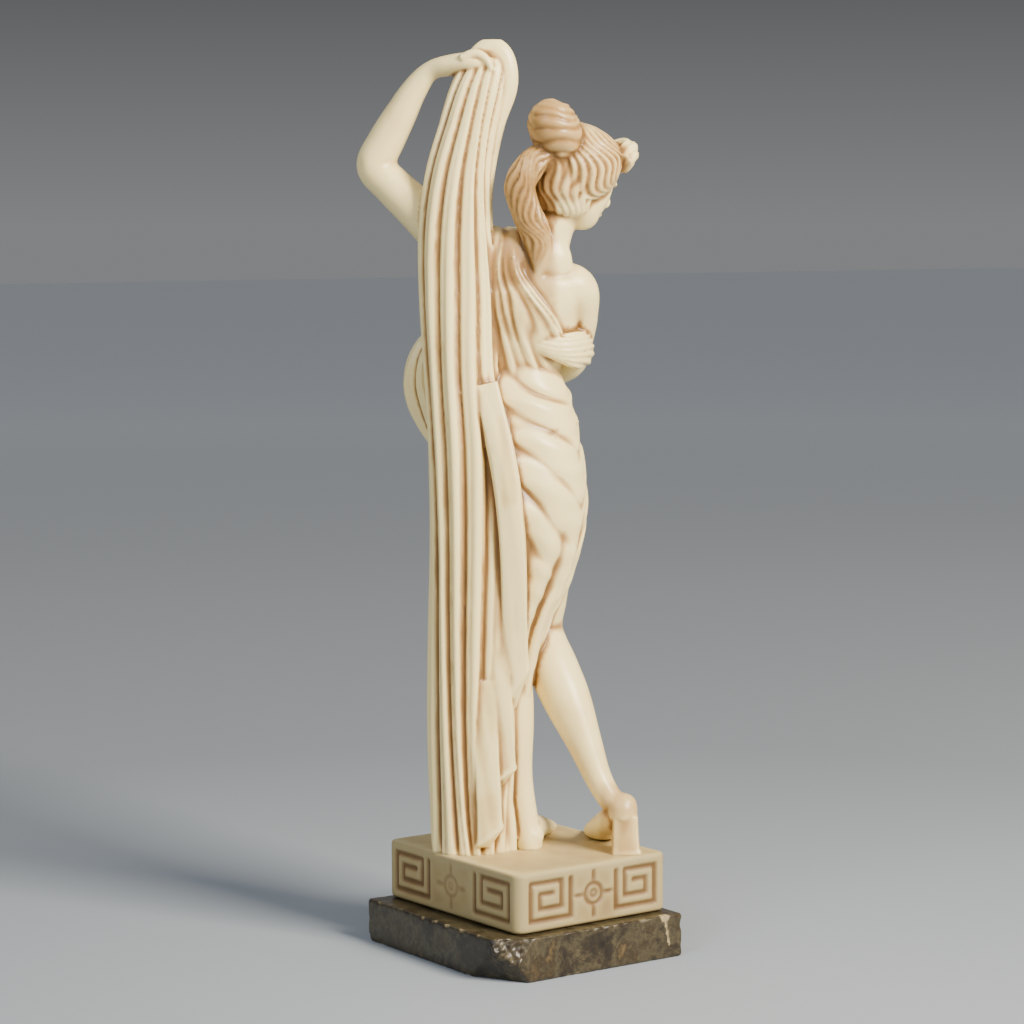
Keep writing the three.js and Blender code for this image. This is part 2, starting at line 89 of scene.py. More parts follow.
def mix_colors(tree, factor, first, second, blend="MIX"):
    inputs = {0: factor, 6: first, 7: second}
    return add_node(tree, "ShaderNodeMix", inputs, data_type="RGBA", blend_type=blend).outputs[2]


marble_wide, marble_deep, marble_high = 0.082, 0.0906, 0.0164
chip_width = 0.007
cad_gap = 5e-5
inside_low, inside_high = np.array(cad_low) + cad_gap, np.array(cad_high) - cad_gap
flakes = [(45, 14, 0.42, 0.5), (62, -22, 0.3, 0.4), (28, 34, 0.3, 0.7)]

bpy.ops.mesh.primitive_cube_add(size=1, location=(0, 0, marble_high / 2))
marble = bpy.context.object
marble.name = "marble_block"
marble.scale = (marble_wide, marble_deep, marble_high)
bpy.ops.object.transform_apply(location=True, rotation=False, scale=True)
worn = marble.modifiers.new("worn edges", "BEVEL")
worn.width = 0.0008
worn.segments = 2
bpy.ops.object.modifier_apply(modifier="worn edges")
bpy.ops.object.mode_set(mode="EDIT")
for turn, lean, inset, height in flakes:
    facing = Matrix.Rotation(math.radians(turn), 3, "Z") @ Matrix.Rotation(math.radians(lean), 3, "Y")
    inner_x, inner_y = marble_wide / 2 - inset * chip_width, marble_deep / 2 - inset * chip_width
    bpy.ops.mesh.select_all(action="SELECT")
    bpy.ops.mesh.bisect(
        plane_co=(inner_x, inner_y, height * marble_high),
        plane_no=facing @ Vector((1, 0, 0)),
        use_fill=True,
        clear_outer=True,
    )
bpy.ops.object.mode_set(mode="OBJECT")
fine = marble.modifiers.new("fine", "REMESH")
fine.mode = "VOXEL"
fine.voxel_size = 0.0006
bpy.ops.object.modifier_apply(modifier="fine")


def vertex_array(mesh, name="co"):
    values = np.empty(len(mesh.vertices) * 3)
    mesh.vertices.foreach_get(name, values)
    return values.reshape(-1, 3)


def set_vertices(mesh, places):
    mesh.vertices.foreach_set("co", np.asarray(places).ravel())
    mesh.update()


def lumps(places, size, seed=0):
    """Smooth lumps between -1 and 1, from crossed waves about `size` long."""
    rng = np.random.default_rng(seed)
    total = np.zeros(len(places))
    for _ in range(9):
        heading = rng.normal(size=3)
        heading /= np.linalg.norm(heading)
        total += np.sin(places @ heading * (2 * np.pi / (size * rng.uniform(0.7, 1.5))) + rng.uniform(0, 6.3))
    return total / 4


places = vertex_array(marble.data)
corner = np.array([marble_wide / 2, marble_deep / 2])
from_corner = np.linalg.norm(places[:, :2] - corner, axis=1)
broken = np.clip(1.6 - from_corner / chip_width, 0, 1)
edge_x = np.abs(np.abs(places[:, 0]) - marble_wide / 2)
edge_y = np.abs(np.abs(places[:, 1]) - marble_deep / 2)
edge_z = np.minimum(places[:, 2], marble_high - places[:, 2])
nearest = np.sort(np.stack([edge_x, edge_y, edge_z]), axis=0)[1]
edge_wear = np.clip(1 - nearest / 0.002, 0, 1)
rough = np.clip(lumps(places, 0.005, 1), 0, 1)
middle = np.array([0, 0, marble_high / 2])
inwards = (middle - places) / np.linalg.norm(middle - places, axis=1)[:, None]
bite = 0.0007 * edge_wear * rough + 0.0012 * broken * np.clip(0.5 + lumps(places, 0.0028, 2), 0, 1)
# A pale chip in the top edge near the right end of the side with y positive, and a scratch below it.
chip, scratch_end = np.array([-0.033, 0.016]), np.array([-0.0352, 0.005])
side_places = places[:, [0, 2]]
down = np.clip((side_places - chip) @ (scratch_end - chip) / np.sum((scratch_end - chip) ** 2), 0, 1)
from_scratch = np.linalg.norm(side_places - chip - down[:, None] * (scratch_end - chip), axis=1)
chipped = np.clip(1.5 - np.linalg.norm(side_places - chip, axis=1) / 0.0016, 0, 1)
chipped = np.maximum(chipped, 0.8 * (from_scratch < 0.0005)) * (places[:, 1] > 0.0435)
places = places + inwards * (bite + 0.0006 * chipped)[:, None]
places = np.clip(places, inside_low, inside_high)
places[:, 2] = np.maximum(places[:, 2], 0)
set_vertices(marble.data, places)
bare_stone = marble.data.attributes.new("bare stone", "FLOAT", "POINT")
bare_stone.data.foreach_set("value", np.clip(broken * 0.3 + edge_wear * rough * 0.9 + 2 * chipped, 0, 1))

# Polished brown marble, mottled with grey-green, with faint pale veins, and paler where it is broken.
material, tree, shader = new_material("brown marble")
spot = add_node(tree, "ShaderNodeTexCoord").outputs["Object"]
cloud_shape = {"Vector": spot, "Scale": 64, "Detail": 9, "Roughness": 0.68, "Distortion": 0.3}
clouds = add_node(tree, "ShaderNodeTexNoise", cloud_shape)
grains = add_node(tree, "ShaderNodeTexNoise", {"Vector": spot, "Scale": 620, "Detail": 4, "Roughness": 0.6})
browns = [(0.34, "#211A12"), (0.45, "#43392A"), (0.52, "#635C48"), (0.6, "#483C28"), (0.72, "#8C7854")]
stone = add_ramp(tree, clouds.outputs[0], browns)
speckle = add_ramp(tree, grains.outputs[0], [(0.35, "#8A8A8A"), (0.65, "#FFFFFF")])
stone = mix_colors(tree, 0.6, stone, speckle, "MULTIPLY")
bend = add_node(tree, "ShaderNodeTexNoise", {"Vector": spot, "Scale": 38, "Detail": 5, "Distortion": 1.6})
vein = add_ramp(tree, bend.outputs[0], [(0.485, "#000000"), (0.5, "#4A4A4A"), (0.512, "#000000")])
stone = mix_colors(tree, vein, stone, srgb("#C8B892"))
bare = add_node(tree, "ShaderNodeAttribute", attribute_name="bare stone").outputs["Fac"]
torn = add_node(tree, "ShaderNodeMath", {0: bare, 1: grains.outputs[0]}, operation="MULTIPLY").outputs[0]
shown = add_ramp(tree, torn, [(0.12, "#000000"), (0.5, "#FFFFFF")])
stone = mix_colors(tree, shown, stone, srgb("#C4B492"))
stone = mix_colors(tree, 1.0, stone, srgb("#C9C4B4"), "MULTIPLY")
tree.links.new(stone, shader.inputs["Base Color"])
gloss = add_node(tree, "ShaderNodeMapRange", {"Value": bare, "To Min": 0.3, "To Max": 0.75}).outputs[0]
tree.links.new(gloss, shader.inputs["Roughness"])
grit = add_node(tree, "ShaderNodeBump", {"Strength": 0.25, "Distance": 0.0003, "Height": grains.outputs[0]})
tree.links.new(grit.outputs[0], shader.inputs["Normal"])
marble.data.materials.append(material)
bpy.ops.object.shade_smooth()
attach(marble, "root")
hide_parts("marble_base")


# The figurine: a draped classical goddess, one casting of marble powder in resin with the plinth below her.
# It is cast in a rubber mould, rubbed with a golden-brown wash that stays in the hollows, and wiped.
figure_turn = math.radians(-36.4)
cast_turn = math.radians(1.3)
cast_offset = np.array([-3, -2.4, 38.7])
shell_points, shell_faces = [], []


def add_shell(points, faces):
    start = sum(len(p) for p in shell_points)
    shell_points.append(np.asarray(points))
    shell_faces.extend([tuple(start + i for i in face) for face in faces])


def along(rows, t):
    rows = np.asarray(rows, float)
    rows = np.vstack([2 * rows[0] - rows[1], rows, 2 * rows[-1] - rows[-2]])
    place = np.clip(t, 0, 1) * (len(rows) - 3)
    i = np.minimum(place.astype(int), len(rows) - 4)
    f = (place - i)[..., None]
    before, here, there, after = (rows[i + k] for k in range(4))
    start, end, rise = (there - before) / 2, (after - here) / 2, there - here
    return here + f * (start + f * (3 * rise - 2 * start - end + f * (start + end - 2 * rise)))


def unit(v):
    return v / np.linalg.norm(v, axis=-1, keepdims=True)


def loft(stations, sides=48, rings=60, across=(1, 0, 0), relief=None, slide=None):
    """Elliptical rings along a smooth line, each station being x, y, z, half width and half depth."""
    angle, t = np.meshgrid(np.arange(sides) * 2 * np.pi / sides, np.linspace(0, 1, rings + 1))
    onward, turn = slide(angle, t) if slide else (0 * t, 0 * t)
    line = along(stations, t + onward)
    heading = unit(along(stations, t + onward + 1e-3)[..., :3] - along(stations, t + onward - 1e-3)[..., :3])
    across = np.array(across, float)
    side = unit(across - heading * (heading @ across)[..., None])
    other = np.cross(heading, side)
    swell = relief(angle, t) if relief else 1 + 0 * t
    points = line[..., :3] + side * (line[..., 3] * swell * np.cos(angle + turn))[..., None]
    points = points + other * (line[..., 4] * swell * np.sin(angle + turn))[..., None]
    points = points.reshape(-1, 3)
    ends = along(stations, np.array([0.0, 1.0]))[:, :3]
    faces = []
    last = len(points)
    for s in range(sides):
        n = (s + 1) % sides
        faces.append((last, n, s))
        faces.append((last + 1, rings * sides + s, rings * sides + n))
        for low in range(0, rings * sides, sides):
            faces.append((low + s, low + n, low + sides + n, low + sides + s))
    add_shell(np.vstack([points, ends]), faces)


def ball(center, radii):
    x, y, z = center
    a, b, c = radii
    steps = np.linspace(-1, 1, 9)
    rounds = [max(0.02, 1 - s * s) ** 0.5 for s in steps]
    loft([(x, y, z + c * s, a * r, b * r) for s, r in zip(steps, rounds)], 32, 24)


def locks(count, depth, wave=0.0, turns=3.0):
    def relief(angle, t):
        strand = angle + wave * np.sin(2 * np.pi * turns * t + 2 * angle)
        coarse = np.sqrt(np.abs(np.sin(count * strand / 2)))
        fine = np.sqrt(np.abs(np.sin(count * strand * 1.5 + 0.6)))
        return 1 - depth * (1 - coarse) - 0.3 * depth * (1 - fine)

    return relief


# Trunk, under a thin gown whose folds fan from the left shoulder and leave the right one bare.
trunk = [
    [1.8, -0.4, 160, 19.6, 14], [2.4, -1, 172, 16.4, 12], [2.6, -1.2, 181, 15, 11],
    [1.6, -1.5, 191, 17.6, 12.6], [0, -1.3, 201, 21, 13.6], [-0.4, -0.4, 211, 23.6, 12.8],
    [-0.6, 0.6, 219, 21.6, 11], [-4.5, 1.4, 225, 14, 9], [-8.6, 1.8, 231, 8, 7.6],
]
left_shoulder = (12, 236)


def smoothstep(value, low, high):
    f = np.clip((value - low) / (high - low), 0, 1)
    return f * f * (3 - 2 * f)


def gown_relief(angle, t):
    line = along(trunk, t)
    x, z = line[..., 0] + line[..., 3] * np.cos(angle), line[..., 2]
    fan = np.arctan2(left_shoulder[0] - x, left_shoulder[1] - z)
    covered = np.maximum(1 - smoothstep(fan, 0.56, 0.61), 1 - smoothstep(z, 192, 197))
    covered = covered * (1 - smoothstep(z, 228, 234))
    fan = fan + 0.02 * np.sin(z * 0.16 + 9 * fan) + 0.03 * np.sin(17 * fan + 0.05 * z)
    coarse = (0.5 + 0.5 * np.cos(62 * fan)) ** 0.8
    fine = np.abs(np.sin(62 * fan + 0.5 * np.sin(z * 0.11)))
    blade = 0.1 * np.exp(-(((angle - 2.15) / 0.4) ** 2) - ((z - 208) / 9) ** 2)
    spine = 0.05 * np.exp(-(((angle - 1.55) / 0.16) ** 2)) * (1 - smoothstep(z, 220, 228))
    aside = np.abs(angle - 1.5 * np.pi) - 0.5
    bust = 0.19 * np.exp(-((aside / 0.36) ** 2) - ((z - 203.5) / 8.5) ** 2)
    deep = 0.055 + 0.03 * np.sin(23 * fan + 0.07 * z)
    return 1 + covered * (0.05 + deep * coarse + 0.018 * fine) + bust + blade - spine * (1 - covered)


loft(trunk, 360, 160, relief=gown_relief)
ball((12, 2, 221), (10, 8.2, 13))
ball((4, 6.4, 222), (8.4, 5.6, 11))
ball((-9.8, 5.4, 221), (8.4, 5.6, 9.5))

# Legs and feet. The free foot stands on its toes against a square casting post.
loft([
    [10, -2.5, 90, 10.8, 11.5], [8.5, -3, 76, 9, 9.6], [6.2, 0, 60, 9, 9.4], [5, 1.2, 46, 8.2, 8.6],
    [3, 2, 28, 5.6, 6.2], [0.4, 3, 12, 4.9, 5.8], [-1, 3, 4, 5.2, 7], [-1.2, 3, -0.6, 5, 6.6],
], 48, 60)
loft([
    [-5, -4, 122, 13.4, 14.4], [-5.4, -9, 108, 12.8, 13.6], [-5, -13, 94, 11.2, 11.8],
    [-5.2, -15.5, 80, 9.4, 9.8], [-11, -8, 66, 9.6, 9.8], [-16.4, -2.6, 54, 9, 9.2],
    [-22.2, 2, 40, 6.8, 7.4], [-27.4, 6, 27, 5.2, 5.8], [-33, 10, 17.6, 4.7, 5.2],
], 48, 80)
loft([
    [-1.2, 9.2, 5, 2.6, 2.4], [-1.4, 6, 4.8, 5.2, 5.2], [-1.8, -2, 5.6, 5, 6], [-3, -13, 4.6, 6, 4.9],
    [-5, -22, 3, 7.2, 3.4], [-6.2, -33, 1.6, 4.6, 1.8],
], 32, 40)
loft([
    [-38.6, 16.4, 18.4, 2.6, 2.8], [-37.4, 13.4, 17.4, 5, 5.6], [-34.8, 7.4, 13.4, 5, 6],
    [-31.8, -1, 8.6, 6, 5], [-29.2, -9, 4.2, 7, 4], [-27, -21, 1.8, 4.4, 1.8],
], 32, 40)


def square(angle, t):
    return 1.04 / np.maximum(np.abs(np.cos(angle)), np.abs(np.sin(angle))) ** 0.7


loft([
    [-37.6, 13.6, -0.6, 5.8, 5.4], [-37.4, 13.4, 3, 5, 4.6], [-37.2, 13, 14, 4.6, 4.2],
], 48, 20, relief=square)
ball((-36.4, 12.6, 15.6), (5.5, 5.7, 6.2))
for toe, reach in enumerate((3.2, 2.6, 1.8, 0.8, -0.6)):
    size = 1.9 if toe == 0 else 1.3
    ball((-2.6 - 1.9 * toe, -31 - reach, 1.6), (size * 0.8, 2.6, size))
    ball((-24.4 - 1.9 * toe, -19.6 - reach, 1.5), (size * 0.8, 2.4, size))

# Arms and hands: one raised to hold up the mantle, one drawn across the waist to gather it.
loft([
    [14, 0, 213, 9, 9], [25, -1, 225, 8.8, 8.8], [38, -2, 239, 8.2, 8.2], [49, -3, 249.5, 7.4, 7.4],
    [55.4, -3.4, 256.6, 7, 7], [51.6, -3, 265, 6.8, 7], [46, -2, 275, 6.2, 6.2],
    [39.4, 0, 286, 4.8, 4.6], [34, 1.5, 291.6, 4.4, 3.6], [27, 3.5, 293.4, 5.8, 3.9],
    [19, 5.5, 294, 6.6, 4], [12.8, 6.6, 293, 5, 3.2],
], 40, 120, across=(0, 1, 0))
loft([
    [-12, 0.8, 215, 7.4, 7], [-19.2, -0.6, 210.6, 8.6, 8.4], [-21, -5, 202, 7.2, 7],
    [-20, -12, 191, 6.4, 6], [-17.6, -18, 182.6, 5.8, 5.8], [-10, -23.6, 178.6, 5.2, 5.4],
    [3, -26, 175.4, 4, 4.2], [13, -26.6, 174, 3.4, 3.4], [22, -25, 173.4, 4.6, 4],
    [30, -21, 172.6, 4.2, 3.2],
], 40, 100, across=(0, 0.85, -0.5))
for finger in range(4):
    y = 1.6 + 2.9 * finger
    loft([(23, y, 295.4, 1.7, 1.7), (17.6, y + 0.4, 297.4, 1.7, 1.7), (13.4, y + 0.8, 295, 1.5, 1.5),
          (11.6, y + 1, 291, 1.1, 1.1)], 16, 24, across=(0, 1, 0))
    z = 177.6 - 2.7 * finger
    loft([(27, -22.6, z, 1.6, 1.6), (32, -23.6, z - 0.6, 1.6, 1.6), (37, -22.6, z - 1.2, 1.4, 1.4),
          (39.6, -20, z - 1.4, 1, 1)], 16, 24, across=(0, 0, 1))
thumb = [(22, -26, 177, 1.8, 1.8), (26, -27, 180.6, 1.7, 1.7), (30.6, -25.4, 182.6, 1.2, 1.2)]
loft(thumb, 16, 20, across=(0, 0, 1))

# Head and face, turned to her right and bowed.
head_place = np.array([-21.6, -1, 254.6])
head_turn = (
    Matrix.Rotation(math.radians(-52), 3, "Z")
    @ Matrix.Rotation(math.radians(25), 3, "X")
    @ Matrix.Rotation(math.radians(4), 3, "Y")
)
head_turn = np.array(head_turn)


def head_loft(stations, sides, rings, across=(1, 0, 0), relief=None, slide=None):
    placed = [(*(head_turn @ np.array(s[:3]) + head_place), *s[3:]) for s in stations]
    loft(placed, sides, rings, head_turn @ np.array(across), relief, slide)


def face_relief(angle, t):
    beside = np.exp(-(((np.abs(angle - 1.5 * np.pi) - 0.44) / 0.2) ** 2))
    socket = np.exp(-(((t - 0.74) / 0.07) ** 2))
    brow = np.exp(-(((t - 0.87) / 0.05) ** 2)) * np.exp(-(((angle - 1.5 * np.pi) / 0.8) ** 2))
    return 1 - 0.1 * beside * socket + 0.02 * brow


loft([
    [-6.5, 2.4, 219, 10, 9.4], [-9, 2, 227, 8, 8], [-12, 1, 236, 7.4, 8], [-16, -1, 247, 7.6, 8.6],
], 48, 40)
head_loft([
    [0, -9.6, -19.8, 2.6, 2.2], [0, -8.2, -17.4, 5.2, 4.8], [0, -6, -13, 7.8, 7.6],
    [0, -4.8, -7.5, 9.4, 9.2], [0, -4.2, -1, 9.8, 9.8], [0, -3.6, 7, 9, 9.4],
], 96, 80, relief=face_relief)
head_loft([
    [0, -12.4, 0.4, 1, 1], [0, -13.8, -3, 1.3, 1.4], [0, -15, -6.2, 2, 1.9], [0, -13.2, -7.8, 1.5, 1.1],
], 24, 30)
for side in (1, -1):
    eye = [
        (side * 1.4, -13, 0.2, 0.6, 0.7),
        (side * 4, -13, 0.3, 1.1, 1.5),
        (side * 6.8, -11.2, 0, 0.5, 0.6),
    ]
    brow = [
        (side * 0.8, -13.4, 2.7, 0.5, 0.6),
        (side * 4, -13.4, 3.4, 0.6, 0.9),
        (side * 7.6, -11, 2.2, 0.4, 0.6),
    ]
    head_loft(eye, 16, 20, across=(0, 0, 1))
    head_loft(brow, 12, 20, across=(0, 0, 1))
for drop, size in ((-10.3, 0.8), (-12, 0.95)):
    head_loft([(-3, -11.9, drop, 0.3, 0.5), (0, -13.5, drop + 0.2, size, 1.1), (3, -11.9, drop, 0.3, 0.5)],
              16, 24, across=(0, 0, 1))

# Hair: waved back from the face to a knot, tied in a bow at the front, with one long tress.
head_loft([
    [0, -8.6, -3.6, 10.6, 9.4], [0, -5.6, -2.4, 13.8, 14.6], [0, -1.6, -0.6, 15.8, 16.8],
    [0, 3, 2.2, 16.2, 16.4], [0, 7.4, 5.8, 14.6, 14.2], [0, 11.4, 9.6, 10.4, 10], [0, 14, 12.4, 5, 5],
], 400, 220, relief=locks(30, 0.12, 0.13, 1.7))
loft([
    [-15.4, 2.6, 237.8, 5, 4.6], [-15.6, 3.4, 241.6, 10.4, 8.6], [-15, 4.4, 249, 12.2, 11],
    [-13, 7, 258, 9.6, 8.4], [-11.6, 9.6, 264, 6, 6],
], 280, 140, relief=locks(20, 0.14, 0.16, 1.6))


def coil(angle, t):
    return 1 - 0.11 * (1 - np.sqrt(np.abs(np.sin(2.5 * angle + 24 * t + 0.6 * np.sin(3 * angle)))))


loft([
    [-17.4, 6.6, 262, 5, 5], [-14.4, 10.4, 265.2, 8.4, 8], [-11, 12.4, 270.8, 9.6, 9.2],
    [-9.6, 13, 277, 7.4, 7.2], [-9.2, 13, 280.6, 2, 2],
], 240, 120, relief=coil)
for side in (1, -1):
    bow = [(side * 0.2, -8.6, 9, 4.4, 4.4), (side * 3.4, -11.6, 13, 5, 4.8),
           (side * 7.4, -12, 12.4, 5.2, 4.8), (side * 10.8, -8.6, 6, 4.4, 4)]
    head_loft(bow, 96, 60, across=(0, 0, 1), relief=locks(7, 0.2, 0.1, 1))
tress = [
    [-9, 12, 262, 4.4, 4], [-3, 14, 257, 5.6, 4.8], [1.4, 14.4, 249, 6, 5], [-0.8, 13.4, 240, 5.8, 4.8],
    [-4.4, 11.8, 231.6, 5.8, 4.2], [-5.6, 10.6, 223, 4, 3.2], [-5.2, 10.4, 214.6, 1.2, 1.2],
]
loft(tress, 160, 220, relief=locks(15, 0.34, 0.24, 2.4),
     slide=lambda angle, t: (0 * t, 0.3 * np.sin(14 * t)))

# Mantle: held up by the raised hand, falling to the plinth behind the left side.
fall_sway = 0.22


def fall_relief(angle, t):
    wander = angle + 0.08 * np.sin(5 * t + 3 * angle)
    ridge = np.abs(np.sin(6 * wander)) ** 0.55
    crease = np.abs(np.sin(12 * wander + 0.7 * np.sin(4 * t) + 0.6)) ** 0.7
    uneven = 0.78 + 0.22 * np.cos(3 * angle + 2.5 * t)
    return 1 - (0.27 + 0.07 * t) * uneven * (1 - ridge) - 0.07 * (1 - crease)


loft([
    [20.6, 7, -0.6, 15.6, 12.4], [20.6, 7.4, 16, 16, 12.2], [20.4, 8.2, 46, 16.8, 12.4],
    [19.8, 9.4, 82, 16.8, 12.8], [19.6, 10.6, 118, 16, 12.8], [20.6, 10.8, 150, 15.4, 12.4],
    [23.4, 10, 180, 14, 11], [24.6, 8.6, 208, 14.4, 10], [25.2, 8, 232, 14, 9.4],
    [24, 7.6, 252, 12.8, 8.6], [20.4, 7, 270, 11.4, 7.8], [16.6, 6.4, 284, 10.8, 7],
    [13.6, 6.2, 292, 8.6, 5.6], [12.4, 6, 296, 5, 4],
], 360, 260, relief=fall_relief,
     slide=lambda angle, t: (0 * t, fall_sway * np.sin(7 * t + 2 * angle)))
loft([
    [20, 4, 284, 3.2, 6], [16, 4.6, 293.4, 3.4, 6.4], [11.6, 5.2, 297.4, 3.4, 6.4],
    [8.4, 5.8, 293.6, 3.4, 6.2], [7.6, 6.2, 285, 3.2, 5.6], [11.6, 6.6, 272, 3, 5],
    [14.8, 7.2, 254, 3, 4.4], [15, 7.6, 236, 2.4, 3],
], 96, 140, across=(0, 1, 0), relief=locks(3, 0.16, 0.1, 1))

# The same mantle wrapped round the hips, its folds hanging lower at the standing leg.
wrap = [
    [12.6, 0, 44, 12, 10.6], [12.2, -0.8, 60, 14, 12.2], [11, -1.6, 76, 16.4, 14],
    [9, -1.6, 92, 19.4, 16], [6, -1, 106, 22.6, 17.8], [3.2, 0, 120, 24.4, 19],
    [1.8, 0.6, 134, 24.6, 19.2], [1.8, 0.6, 147, 23.6, 18.6], [2, 0, 159, 21.4, 17],
    [2.4, -0.6, 170, 19.4, 15.4], [2.6, -1, 182, 15, 11.2],
]
wrap_folds, pleats = 8, 11


def swag_share(t):
    return smoothstep(t, 0.36, 0.6)


def wrap_relief(angle, t):
    wander = t + 0.008 * np.sin(3 * angle + 1)
    swag = 2 * np.abs(np.cos(np.pi * wrap_folds * wander)) ** 0.9 - 1
    swag = swag * (1 + 0.4 * np.sin(3 * angle + 13 * t))
    crease = np.cos(4 * np.pi * wrap_folds * wander + 1.5 * np.sin(3 * angle))
    twisted = angle + 0.06 * np.sin(9 * t) + 0.5 * t
    pleat = 3.4 * (0.5 + 0.5 * np.cos(pleats * twisted)) ** 0.7 - 1.7
    line = along(wrap, t)
    x, z = line[..., 0] + line[..., 3] * np.cos(angle), line[..., 2]
    drawn = z - 0.62 * x - 24 * np.exp((x - 22) / 9) + 2.4 * np.sin(0.08 * z + 0.1 * x)
    sweep = 2 * np.abs(np.cos(np.pi * drawn / 14)) ** 0.8 - 1
    sweep = sweep * (0.45 + 0.6 * smoothstep(x, -22, 0)) * (1 + 0.3 * np.sin(0.11 * z - 0.2 * x))
    swag = swag + smoothstep(np.sin(angle), -0.2, 0.3) * (sweep - swag)
    folds = 0.046 * (pleat + swag_share(t) * (swag - pleat)) + 0.008 * crease
    seat = np.maximum(0, np.sin(angle)) * (0.6 - 0.4 * np.cos(4 * angle))
    seat = seat * np.exp(-(((t - 0.66) / 0.13) ** 2))
    return 1 + folds + 0.07 * seat


def wrap_slide(angle, t):
    hang = 0.13 * np.sin(angle) ** 2 + 0.13 * np.cos(angle)
    before = 1 - smoothstep(np.sin(angle), -0.2, 0.3)
    flutter = 0.018 * (1 + np.sin(pleats * angle)) * (1 - smoothstep(t, 0, 0.12))
    return flutter - hang * swag_share(t) * (1 - t) * 2.2 * before, 0 * t


def on_shell(rows, degrees, height):
    t = np.linspace(0, 1, 400)
    line = along(rows, t)
    x, y, z, a, b = line[np.argmin(np.abs(line[:, 2] - height))]
    return (x + a * math.cos(math.radians(degrees)), y + b * math.sin(math.radians(degrees)), z)


loft(wrap, 240, 200, relief=wrap_relief, slide=wrap_slide)
hem = [
    [206, 134], [186, 124], [166, 112], [150, 98], [146, 80], [150, 62], [156, 48],
]
roll_radii = (0.5, 1.5, 2, 2, 2, 2, 1.6)
roll = [(*on_shell(wrap, degrees, height), r, r) for (degrees, height), r in zip(hem, roll_radii)]
loft(roll, 24, 80, across=(0, 0, 1))
# The sleeve, slipped into the crook of her right arm, and the bunch of mantle that her right hand gathers.
sleeve = [(-1, 9.8, 192, 1.6, 1), (-10, 9.8, 189.4, 4.2, 2.2), (-18.6, 5, 188.4, 7.2, 3.2),
          (-22.4, -7, 188, 7, 4.2), (-18, -17, 185, 4, 3)]
loft(sleeve, 160, 80, across=(0, 0, 1), relief=locks(14, 0.36, 0.2, 1))
loft([
    [25, -12, 192, 4, 4], [32, -12, 188, 9, 8.6], [34, -12, 176, 12.6, 10.6], [31, -11.6, 163, 11, 9.6],
    [26, -10, 146, 5, 5],
], 200, 100, relief=locks(9, 0.36, 0.12, 1))


def hem_slant(angle, t):
    return 0.07 * (1 - t) * (1 - np.cos(angle)), 0 * t


def hem_lip(angle, t):
    flat = 0.93 / np.maximum(np.abs(np.cos(angle)), np.abs(np.sin(angle))) ** 0.6
    return flat + 0.03 * np.sin(5 * angle + 9 * t) + 0.1 * np.exp(-((t / 0.03) ** 2))


# The fall's free edge hangs in three steps, and small folds fill in beside the standing heel.
step_width = 5.3
hem_steps = [
    [[3, 12.6, 55, 4], [3.4, 14.4, 84, 4], [4.2, 18.6, 120, 4], [7.4, 19.4, 148, 3.8], [14, 14.6, 176, 3.4]],
    [[8, 13.6, 26, 3.6], [8.6, 14.4, 52, 3.6], [11, 14.6, 90, 3]],
    [[13, 16, 3, 3.6], [13.6, 16, 32, 3.4], [15, 15, 66, 3]],
]
for step in hem_steps:
    proud = [(x + 0.6, y + 1.8, z, step_width, deep) for x, y, z, deep in step]
    loft(proud, 96, 100, relief=hem_lip, slide=hem_slant)
for i in range(3):
    loft([(5.6 + 4.6 * i, 9 + 2 * i, -0.6, 2.3, 2.4), (6 + 4.4 * i, 9 + 2 * i, 11, 2.2, 2.4),
          (8 + 4 * i, 8 + 2 * i, 30, 1.6, 1.8)], 32, 30)

turn = np.array(Matrix.Rotation(figure_turn, 3, "Z"))
shell_points = [points @ turn.T for points in shell_points]

casting_mesh = bpy.data.meshes.new("figure with plinth")
casting_mesh.from_pydata(np.vstack(shell_points).tolist(), [], shell_faces)
casting = bpy.data.objects.new("cast_figurine", casting_mesh)
bpy.context.collection.objects.link(casting)
bpy.ops.object.select_all(action="DESELECT")
casting.select_set(True)
bpy.context.view_layer.objects.active = casting
cast_skin = casting.modifiers.new("one skin", "REMESH")
cast_skin.mode = "VOXEL"
cast_skin.voxel_size = 0.45
bpy.ops.object.modifier_apply(modifier="one skin")
softened = casting.modifiers.new("mould softness", "SMOOTH")
softened.factor = 0.5
softened.iterations = 1
bpy.ops.object.modifier_apply(modifier="mould softness")

# Bare skin is rubbed smooth. The wash lies where the skin is hollow: below the level of its smoothed self.
# Broad hollows are darkened as well, which is painted shade.
def edge_pairs(mesh):
    pairs = np.empty(len(mesh.edges) * 2, dtype=np.int64)
    mesh.edges.foreach_get("vertices", pairs)
    return pairs.reshape(-1, 2)


def smoothed(values, edges, rounds):
    count = len(values)
    valence = np.bincount(edges.ravel(), minlength=count)
    first, second = edges.T
    for _ in range(rounds):
        columns = [
            np.bincount(first, column[second], count) + np.bincount(second, column[first], count)
            for column in values.T
        ]
        values = np.stack(columns, axis=1) / valence[:, None]
    return values


